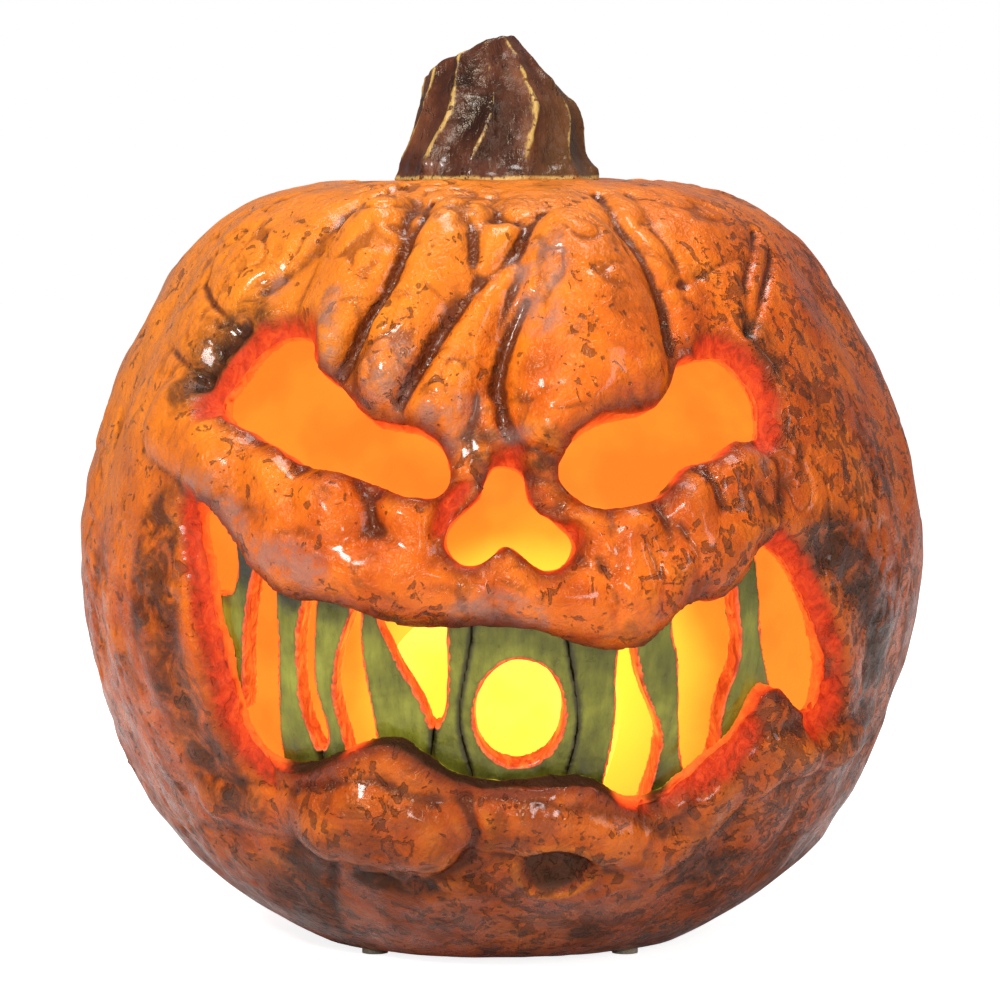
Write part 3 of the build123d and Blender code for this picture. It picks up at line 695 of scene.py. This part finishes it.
def clay_grain():
    """Rough hand-worked clay: cloudy tone, ragged pits, loose spots and a height for all of them."""
    m, given, result = effect("clay_grain", [("Where", VECTOR, None), ("Pit cover", FLOAT, 0.5)],
                              [("Tone", FLOAT), ("Pits", FLOAT), ("Spots", FLOAT), ("Height", FLOAT)])
    where = given["Where"]
    patch = m.noise(where, 0.026, 3, 0.6, 0.6)
    ragged = m.noise(where, 0.0052, 3, 0.62, 1.3)
    fine = m.noise(where, 0.0018, 3, 0.6, 0.8)
    cover = m.times(m.maths("SUBTRACT", given["Pit cover"], 0.5), 0.3)
    chance = m.sum(m.sum(ragged, m.times(m.maths("SUBTRACT", patch, 0.5), 0.55)), cover)
    pits = m.between(m.sum(chance, m.times(m.maths("SUBTRACT", fine, 0.5), 0.22)), 0.600, 0.655)
    spot = m.noise(m.stretched(where, (1, 1, 0.72)), 0.0040, 2, 0.5, 0.3)
    wide = m.noise(where, 0.017, 2, 0.5)
    likely = m.sum(m.sum(spot, m.times(m.maths("SUBTRACT", wide, 0.5), 0.35)), cover)
    spots = m.between(likely, 0.625, 0.665)
    m.feed(result["Tone"], m.noise(where, 0.019, 5, 0.62, 0.4))
    m.feed(result["Pits"], pits)
    m.feed(result["Spots"], spots)
    lumps = m.sum(m.times(m.noise(where, 0.0042, 3, 0.6, 0.5), 0.6), m.times(fine, 0.22))
    hollows = m.sum(m.times(pits, 0.32), m.times(spots, 0.2))
    m.feed(result["Height"], m.maths("SUBTRACT", lumps, hollows))


def plastic_grain():
    """The fine spark-eroded grain of a moulding, with faint flow marks."""
    m, given, result = effect("plastic_grain", [("Where", VECTOR, None), ("Size", FLOAT, 0.0006)],
                              [("Tone", FLOAT), ("Height", FLOAT)])
    fine = m.add("ShaderNodeTexNoise", {"Vector": given["Where"], "Detail": 2.0,
                                        "Scale": m.maths("DIVIDE", 1.0, given["Size"])}).outputs["Fac"]
    m.feed(result["Height"], fine)
    m.feed(result["Tone"], m.noise(given["Where"], 0.02, 4, 0.6, 1.2))


def handling_marks():
    """Smears and light scuffs from handling."""
    m, given, result = effect("handling_marks", [("Where", VECTOR, None)],
                              [("Smears", FLOAT), ("Scuffs", FLOAT)])
    smears = m.between(m.noise(given["Where"], 0.012, 5, 0.65, 2.0), 0.35, 0.7)
    fine = m.noise(m.stretched(given["Where"], (1, 5, 5)), 0.004, 4, 0.7)
    m.feed(result["Smears"], smears)
    m.feed(result["Scuffs"], m.between(fine, 0.66, 0.72))


def drawn_metal():
    """The long fine lines of drawn or rolled metal."""
    m, given, result = effect("drawn_metal", [("Where", VECTOR, None)], [("Lines", FLOAT), ("Tone", FLOAT)])
    m.feed(result["Lines"], m.noise(m.stretched(given["Where"], (0.15, 1, 1)), 0.0004, 3, 0.6))
    m.feed(result["Tone"], m.noise(given["Where"], 0.006, 4, 0.6))


for make_effect in (clay_grain, plastic_grain, handling_marks, drawn_metal):
    make_effect()

BLACK = (0, 0, 0, 1)


def finish_of(name, **fixed):
    """A new material, its mixer and its shader, with the fixed values set on the shader's own sockets."""
    mat = bpy.data.materials.new(name)
    mat.use_nodes = True
    shader = mat.node_tree.nodes["Principled BSDF"]
    for socket, value in fixed.items():
        shader.inputs[socket.replace("_", " ")].default_value = value
    return mat, Mixer(mat.node_tree), shader.inputs


# ---------------------------------------------------------------- painted clay
LAMP_X, LAMP_Z = 0.010, 0.065       # where the glow on the back wall is strongest


def lamp_glow(m, where):
    """The glow on the inner wall, yellow behind the globe and orange away from it."""
    parts = m.add("ShaderNodeSeparateXYZ", {"Vector": where}).outputs
    across = m.maths("SUBTRACT", parts["X"], LAMP_X)
    up = m.maths("SUBTRACT", parts["Z"], LAMP_Z)
    up = m.maths("MAXIMUM", up, m.times(up, 1.4))
    away = m.maths("SQRT", m.sum(m.times(across, across), m.times(up, up)))
    away = m.sum(away, m.times(m.noise(where, 0.03, 2), 0.006))
    glow = m.spread(m.times(away, 10.0), [
        (0.30, shade(255, 255, 70)), (0.46, shade(255, 215, 62)), (0.56, shade(255, 172, 48)),
        (0.70, shade(255, 150, 48)), (1.00, shade(255, 150, 46))])
    drift = m.times(m.between(m.noise(where, 0.035, 3), 0.38, 0.62), m.between(away, 0.045, 0.06))
    return m.blend(m.times(drift, 0.5), glow, shade(255, 112, 34))


def painted_clay():
    mat, m, to = finish_of("painted_clay", Coat_Roughness=0.1, Emission_Strength=1.0,
                           Specular_IOR_Level=0.38, Specular_Tint=(1.0, 0.74, 0.48, 1))
    where = m.place()
    wall, hollow, through, teeth_shadow = (m.worn(n) for n in ("wall", "hollow", "through", "teeth_shadow"))
    relief, broad, eaten, rim = (m.worn(n) for n in ("relief", "broad", "eaten", "rim"))
    dusty, stain_and_shade, scab = m.worn("dusty"), m.worn("stain_and_shade"), m.worn("scab")
    parts = m.add("ShaderNodeSeparateXYZ", {"Vector": where}).outputs
    across, up = parts["X"], parts["Z"]
    cloud = m.maths("SUBTRACT", m.noise(where, 0.045, 4, 0.6), 0.5)
    low = m.between(m.sum(up, m.times(cloud, 0.12)), 0.120, 0.010)
    right = m.between(m.sum(across, m.times(cloud, 0.06)), 0.030, 0.085)
    cover = m.sum(0.30, m.sum(m.times(right, 0.34), m.times(low, 0.26)))
    clay = m.group("clay_grain", {"Where": where, "Pit cover": cover})

    skin = m.spread(clay["Tone"], [(0.30, shade(158, 58, 6)), (0.45, shade(200, 80, 6)),
                                   (0.58, shade(224, 102, 10)), (0.74, shade(240, 122, 18))])
    # Painted light: the upper left is lighter and more golden, where the key lamp falls.
    painted_key_light = m.between(m.sum(m.sum(m.times(across, -0.5), up), m.times(cloud, 0.05)), 0.130, 0.225)
    skin = m.blend(m.times(painted_key_light, 0.58), skin, shade(246, 146, 36))
    # Darker towards the bottom: partly browner paint, partly painted shade.
    skin = m.blend(m.times(low, 0.58), skin, shade(124, 52, 12))
    # Painted shade: the right side, away from the key lamp, is darker.
    skin = m.blend(m.times(right, 0.38), skin, shade(158, 64, 8))
    # Painted highlight: the crests of the lumps are lighter, as if catching the light.
    crest_highlight = m.between(relief, 0.12, 0.9)
    skin = m.blend(m.times(crest_highlight, 0.35), skin, shade(250, 146, 34))
    stain = m.between(m.sum(m.noise(where, 0.013, 5, 0.66, 0.9), m.times(low, 0.10)), 0.53, 0.68)
    skin = m.blend(m.times(stain, 0.50), skin, shade(88, 36, 12))
    ragged = m.times(m.maths("SUBTRACT", m.noise(where, 0.004, 4, 0.62), 0.5), 0.9)
    # The creases and broad hollows are darkened: partly a dark paint wash, partly painted shade.
    crease_wash_and_shade = m.between(m.sum(relief, ragged), -0.05, -0.75)
    skin = m.blend(m.times(crease_wash_and_shade, 0.88), skin, shade(74, 24, 8))
    skin = m.blend(m.times(m.between(broad, -0.05, -0.9), 0.50), skin, shade(98, 36, 8))
    skin = m.blend(m.times(m.between(m.sum(eaten, ragged), 0.25, 0.9), 0.62), skin, shade(104, 42, 12))
    skin = m.blend(m.times(clay["Pits"], 0.62), skin, shade(78, 31, 10))
    skin = m.blend(m.times(clay["Spots"], 0.60), skin, shade(60, 26, 12))
    # Near-black mottle: stains, and painted shade under the lips and in the corners.
    stain_and_shade_mottle = m.times(stain_and_shade, m.between(m.noise(where, 0.009, 5, 0.7, 0.8), 0.26, 0.58))
    skin = m.blend(m.times(stain_and_shade_mottle, 0.84), skin, shade(36, 17, 10))
    grey = m.times(dusty, m.between(m.noise(where, 0.007, 5, 0.7), 0.36, 0.6))
    skin = m.blend(m.times(grey, 0.60), skin, shade(142, 112, 104))
    # Painted shade and painted glow: a dark red band round every opening, where the lip turns in and light
    # from inside spills.
    skin = m.blend(m.times(m.between(rim, 0.35, 0.98), 0.70), skin, shade(96, 26, 10))
    skin = m.blend(m.times(m.between(scab, 0.35, 0.6), 0.72), skin, shade(74, 36, 16))

    # Painted glow of the lamp on the cut walls: bright orange at the inner edge, dark red towards the skin,
    # with streaks.
    streak = m.maths("SUBTRACT", m.noise(m.stretched(where, (1, 1, 0.6)), 0.0042, 4, 0.68, 1.6), 0.5)
    cut = m.spread(m.sum(through, m.times(streak, 1.1)), [
        (0.06, shade(255, 120, 40)), (0.40, shade(240, 82, 26)), (0.70, shade(196, 42, 14)),
        (0.98, shade(92, 16, 6))])
    # Painted shadow of the teeth: the walls they close off get no glow and darker paint.
    cut = m.blend(teeth_shadow, cut, BLACK)
    glow = m.blend(wall, m.blend(hollow, BLACK, lamp_glow(m, where)), cut)
    inside = m.maths("MINIMUM", m.sum(wall, hollow), 1.0)
    cut_skin = m.blend(teeth_shadow, shade(118, 36, 12), shade(52, 24, 10))
    m.feed(to["Base Color"], m.blend(inside, skin, cut_skin))
    m.feed(to["Emission Color"], glow)
    shine = m.noise(where, 0.012, 4, 0.6)
    rough = m.sum(m.between(shine, 0.3, 0.7, 0.20, 0.42), m.times(clay["Pits"], 0.1))
    rough = m.sum(rough, m.times(m.maths("MAXIMUM", grey, stain_and_shade_mottle), 0.1))
    m.feed(to["Roughness"], m.sum(rough, m.times(m.maths("MAXIMUM", wall, hollow), 0.35)))
    lacquer = m.between(shine, 0.35, 0.65, 0.40, 0.06)
    m.feed(to["Coat Weight"], m.times(m.maths("SUBTRACT", 1.0, m.maths("MAXIMUM", wall, hollow)), lacquer))
    m.feed(to["Normal"], m.bump(clay["Height"], 0.0022, 0.9))
    return mat


def tooth_clay():
    mat, m, to = finish_of("tooth_clay", Coat_Roughness=0.16, Emission_Strength=1.0,
                           Specular_Tint=(1.0, 0.92, 0.66, 1))
    where = m.place()
    clay = m.group("clay_grain", {"Where": where, "Pit cover": 0.2})
    wall, hollow, edge, lit = (m.worn(n) for n in ("wall", "hollow", "edge", "lit"))
    parts = m.add("ShaderNodeSeparateXYZ", {"Vector": where}).outputs
    cloud = m.maths("SUBTRACT", m.noise(where, 0.011, 4, 0.6), 0.5)
    brushed = m.noise(m.stretched(where, (1, 1, 0.22)), 0.0028, 4, 0.6)
    face = m.spread(m.sum(m.times(clay["Tone"], 0.6), m.times(brushed, 0.4)), [
        (0.30, shade(74, 74, 16)), (0.46, shade(112, 112, 28)), (0.60, shade(142, 142, 46)),
        (0.76, shade(168, 168, 74))])
    # The teeth darken to near black at the bottom: partly rot, partly painted shade above the lower lip.
    low = m.between(m.sum(parts["Z"], m.times(cloud, 0.020)), 0.070, 0.048)
    face = m.blend(m.times(low, 0.86), face, shade(26, 22, 8))
    # Painted shade under the upper lip, mottled and greyer on the left teeth.
    high = m.between(m.sum(parts["Z"], m.times(cloud, 0.016)), 0.094, 0.106)
    face = m.blend(m.times(high, 0.55), face, shade(52, 54, 16))
    left = m.between(parts["X"], -0.018, -0.032)
    lip_shade_mottle = m.times(m.times(high, left), m.between(cloud, -0.12, 0.1))
    face = m.blend(m.times(lip_shade_mottle, 0.85), face, shade(44, 46, 50))
    # Painted shade: a dark border round each tooth's face, towards its sides and seams.
    face = m.blend(m.times(m.between(edge, 0.10, 0.62), 0.80), face, shade(42, 34, 8))
    # Painted glow of the lamp on the open flanks and the backs of the teeth; the closed flanks get painted
    # shade instead.
    streak = m.noise(m.stretched(where, (1, 1, 0.5)), 0.0032, 4, 0.7, 1.5)
    cut = m.spread(streak, [(0.32, shade(164, 34, 12)), (0.48, shade(228, 76, 26)),
                            (0.66, shade(255, 122, 48))])
    shown = m.between(lit, 0.18, 0.42)
    glow = m.blend(shown, BLACK, cut)
    m.feed(to["Emission Color"], m.blend(hollow, glow, shade(230, 140, 48)))
    closed_flank_shade = m.times(wall, m.maths("SUBTRACT", 1.0, shown))
    face = m.blend(m.times(closed_flank_shade, 0.85), face, shade(30, 24, 8))
    m.feed(to["Base Color"], m.blend(m.maths("MAXIMUM", shown, hollow), face, shade(120, 44, 14)))
    m.feed(to["Roughness"], m.between(brushed, 0.3, 0.7, 0.26, 0.46))
    m.feed(to["Coat Weight"], m.times(m.maths("SUBTRACT", 1.0, hollow), 0.3))
    height = m.sum(m.times(brushed, 0.6), m.times(clay["Height"], 0.6))
    m.feed(to["Normal"], m.bump(height, 0.0009, 0.85))
    return mat


def stem_clay():
    mat, m, to = finish_of("stem_clay", Coat_Roughness=0.15, Specular_IOR_Level=0.4,
                           Specular_Tint=(1.0, 0.82, 0.62, 1))
    where = m.place()
    clay = m.group("clay_grain", {"Where": where, "Pit cover": 0.35})
    relief, foot = m.worn("relief"), m.worn("foot")
    parts = m.add("ShaderNodeSeparateXYZ", {"Vector": where}).outputs
    bark = m.spread(clay["Tone"], [(0.32, shade(44, 20, 12)), (0.5, shade(84, 42, 26)),
                                   (0.68, shade(118, 66, 38))])
    tan = m.between(m.sum(parts["X"], m.times(parts["Z"], -0.25)), -0.052, -0.036)
    bark = m.blend(m.times(tan, 0.35), bark, shade(112, 76, 30))
    # The flutes between the ribs are darkened: partly dark paint, partly painted shade.
    bark = m.blend(m.times(m.between(relief, 0.0, -0.7), 0.85), bark, shade(28, 12, 8))
    grain = m.noise(m.stretched(where, (1, 1, 0.25)), 0.0026, 4, 0.65)
    brush = m.noise(m.stretched(where, (1, 1, 0.5)), 0.016, 2, 0.5)
    dry = m.sum(relief, m.sum(m.times(grain, 0.9), m.times(brush, 1.3)))
    dry = m.times(m.between(dry, 1.36, 1.66), m.between(foot, 0.45, 0.0))
    specks = m.between(m.noise(where, 0.0014, 2, 0.5), 0.60, 0.66)
    dry = m.times(dry, m.maths("SUBTRACT", 1.0, m.times(specks, 0.9)))
    bark = m.blend(m.times(dry, 0.92), bark, shade(206, 168, 92))
    bark = m.blend(m.times(clay["Pits"], 0.6), bark, shade(34, 16, 10))
    m.feed(to["Base Color"], bark)
    m.feed(to["Roughness"], m.between(clay["Tone"], 0.3, 0.7, 0.24, 0.5))
    m.feed(to["Coat Weight"], m.between(foot, 0.0, 1.0, 0.05, 0.4))
    height = m.sum(m.times(grain, 0.6), m.times(clay["Height"], 0.8))
    m.feed(to["Normal"], m.bump(height, 0.0012, 0.85))
    return mat


# ---------------------------------------------------------------- the light unit's finishes
def moulded(name, colour, second, grain=0.0006, rough=(0.42, 0.6), depth=0.00006):
    mat, m, to = finish_of(name)
    where = m.place()
    skin = m.group("plastic_grain", {"Where": where, "Size": grain})
    marks = m.group("handling_marks", {"Where": where})
    m.feed(to["Base Color"], m.blend(m.between(skin["Tone"], 0.35, 0.7), colour, second))
    worn = m.sum(m.between(marks["Smears"], 0.0, 1.0, *rough), m.times(marks["Scuffs"], 0.12))
    m.feed(to["Roughness"], worn)
    m.feed(to["Normal"], m.bump(skin["Height"], depth))
    return mat


def metal(name, colour, second, rough=(0.22, 0.4)):
    mat, m, to = finish_of(name, Metallic=1.0)
    where = m.place()
    lines = m.group("drawn_metal", {"Where": where})
    marks = m.group("handling_marks", {"Where": where})
    m.feed(to["Base Color"], m.blend(m.between(lines["Tone"], 0.35, 0.65), colour, second))
    worn = m.sum(m.between(lines["Lines"], 0.2, 0.8, *rough), m.times(marks["Smears"], 0.08))
    m.feed(to["Roughness"], worn)
    m.feed(to["Normal"], m.bump(lines["Lines"], 0.00002))
    return mat


def foam(name, colour, second):
    mat, m, to = finish_of(name, Roughness=0.95, Sheen_Weight=0.25, Sheen_Roughness=0.5)
    where = m.place()
    cells = m.cells(where, 0.0007)
    tone = m.noise(where, 0.004, 4, 0.6)
    m.feed(to["Base Color"], m.blend(m.sum(m.times(cells, 0.7), m.times(tone, 0.5)), colour, second))
    m.feed(to["Normal"], m.bump(cells, 0.0003))
    return mat


def frosted_globe():
    mat, m, to = finish_of("globe_plastic", Emission_Strength=1.0, Roughness=0.5)
    where = m.place()
    skin = m.group("plastic_grain", {"Where": where, "Size": 0.0009})
    cloud = m.noise(where, 0.02, 3, 0.5)
    m.feed(to["Base Color"], shade(226, 186, 90))
    lit = m.blend(m.between(cloud, 0.35, 0.65), shade(255, 244, 70), shade(255, 250, 96))
    m.feed(to["Emission Color"], lit)
    m.feed(to["Normal"], m.bump(skin["Height"], 0.00008))
    return mat


def lamp_lens():
    mat, m, to = finish_of("lamp_lens", Emission_Strength=2.0, Roughness=0.15)
    skin = m.group("plastic_grain", {"Where": m.place(), "Size": 0.0009})
    m.feed(to["Base Color"], shade(250, 230, 160))
    m.feed(to["Emission Color"], m.blend(skin["Tone"], shade(255, 214, 110), shade(255, 236, 160)))
    return mat


def circuit_board():
    mat, m, to = finish_of("circuit_board", Roughness=0.35, Coat_Weight=0.4, Coat_Roughness=0.2)
    where = m.place()
    weave = m.add("ShaderNodeTexChecker", {"Vector": where, "Scale": 2200.0}).outputs["Fac"]
    tracks = m.between(m.cells(m.stretched(where, (1, 0.5, 1)), 0.0026, "DISTANCE_TO_EDGE"), 0.10, 0.06)
    green = m.blend(m.times(weave, 0.2), shade(16, 74, 40), shade(24, 98, 54))
    m.feed(to["Base Color"], m.blend(m.times(tracks, 0.6), green, shade(48, 138, 76)))
    m.feed(to["Normal"], m.bump(tracks, 0.00004))
    return mat


def lead_skin(name, colour, second):
    mat, m, to = finish_of(name, Roughness=0.4)
    where = m.place()
    marks = m.group("handling_marks", {"Where": where})
    m.feed(to["Base Color"], m.blend(marks["Smears"], colour, second))
    m.feed(to["Normal"], m.bump(m.noise(where, 0.0012, 2), 0.00004))
    return mat


def battery_jacket():
    mat, m, to = finish_of("battery_jacket", Coat_Weight=0.5, Coat_Roughness=0.1)
    where = m.place()
    parts = m.add("ShaderNodeSeparateXYZ", {"Vector": where}).outputs
    marks = m.group("handling_marks", {"Where": where})
    along = m.sum(parts["X"], m.times(m.noise(where, 0.01, 1), 0.0002))
    band = m.between(along, 0.0085, 0.0092)
    film = m.blend(band, shade(22, 30, 74), shade(196, 142, 74))
    ends = m.between(m.maths("ABSOLUTE", parts["X"]), 0.0215, 0.0218)
    m.feed(to["Base Color"], m.blend(ends, film, shade(196, 194, 188)))
    m.feed(to["Metallic"], m.sum(m.times(band, 0.35), m.times(ends, 0.6)))
    m.feed(to["Roughness"], m.between(marks["Smears"], 0.0, 1.0, 0.22, 0.4))
    return mat


FINISHES = {
    "painted_clay": painted_clay(),
    "tooth_clay": tooth_clay(),
    "stem_clay": stem_clay(),
    "housing_plastic": moulded("housing_plastic", shade(34, 34, 36), shade(44, 43, 44)),
    "cover_plastic": moulded("cover_plastic", shade(224, 220, 208), shade(212, 206, 192), 0.0008,
                             (0.35, 0.5)),
    "switch_plastic": moulded("switch_plastic", shade(28, 28, 30), shade(38, 38, 40), 0.0004, (0.3, 0.5)),
    "knob_plastic": moulded("knob_plastic", shade(214, 212, 206), shade(198, 195, 186), 0.0005, (0.35, 0.55)),
    "component_plastic": moulded("component_plastic", shade(30, 30, 32), shade(46, 44, 44), 0.0004,
                                 (0.4, 0.6)),
    "screw_steel": metal("screw_steel", shade(188, 190, 192), shade(166, 168, 164)),
    "contact_steel": metal("contact_steel", shade(206, 202, 188), shade(180, 176, 160)),
    "pin_steel": metal("pin_steel", shade(184, 186, 188), shade(160, 160, 160)),
    "gasket_rubber": foam("gasket_rubber", shade(38, 38, 38), shade(62, 62, 60)),
    "foot_rubber": foam("foot_rubber", shade(150, 140, 118), shade(186, 176, 152)),
    "globe_plastic": frosted_globe(),
    "lamp_lens": lamp_lens(),
    "circuit_board": circuit_board(),
    "red_lead": lead_skin("red_lead", shade(176, 26, 20), shade(150, 20, 16)),
    "black_lead": lead_skin("black_lead", shade(26, 26, 27), shade(40, 40, 40)),
    "battery_jacket": battery_jacket(),
}


# ---------------------------------------------------------------- pieces on the frame
def put_on(piece, slot_name, *nodes):
    """The piece stands for these nodes, wears the slot's finish and stays with the pumpkin."""
    piece.data.materials.clear()
    piece.data.materials.append(FINISHES[slot_name])
    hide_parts(*nodes)
    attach(piece, "root")


put_on(pumpkin_shell(SHELL), "painted_clay", *SHELL)
put_on(stem(), "stem_clay", "stem")
for subpart in frame["record"]["subparts"]:
    node_name, slot_name = subpart["node"], subpart["material_slot"]
    if node_name.startswith("tooth_"):
        put_on(tooth(node_name), slot_name, node_name)
    elif slot_name not in ("painted_clay", "stem_clay"):
        mesh = frame["nodes"][node_name].data
        mesh.materials.clear()
        mesh.materials.append(FINISHES[slot_name])
